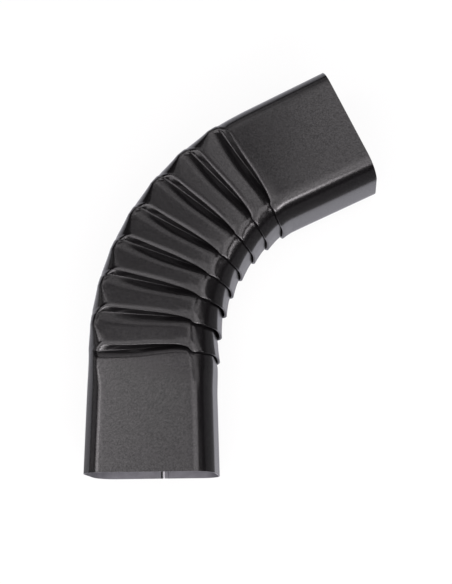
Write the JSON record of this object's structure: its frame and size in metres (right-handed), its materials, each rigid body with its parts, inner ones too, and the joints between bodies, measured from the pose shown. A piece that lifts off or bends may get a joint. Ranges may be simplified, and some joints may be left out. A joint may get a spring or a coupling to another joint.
{
  "type": "downspout elbow",
  "caption": "Rectangular rainwater downpipe elbow in painted sheet steel, with pleated creases that turn the water way through about 65 degrees.",
  "frame": {"origin": "middle of the floor area that the elbow covers, on the face of its back wall", "axes": "+Y runs up the lower leg from its mouth toward the bend, +X is the side that the bend turns to, +Z is square to the bend plane, from the back wall with the seam to the front face"},
  "size_m": [0.2282, 0.3152, 0.075],
  "materials": {
    "painted_steel": "satin"
  },
  "bodies": {
    "root": {"downspout_elbow": "painted_steel"}
  },
  "joints": []
}
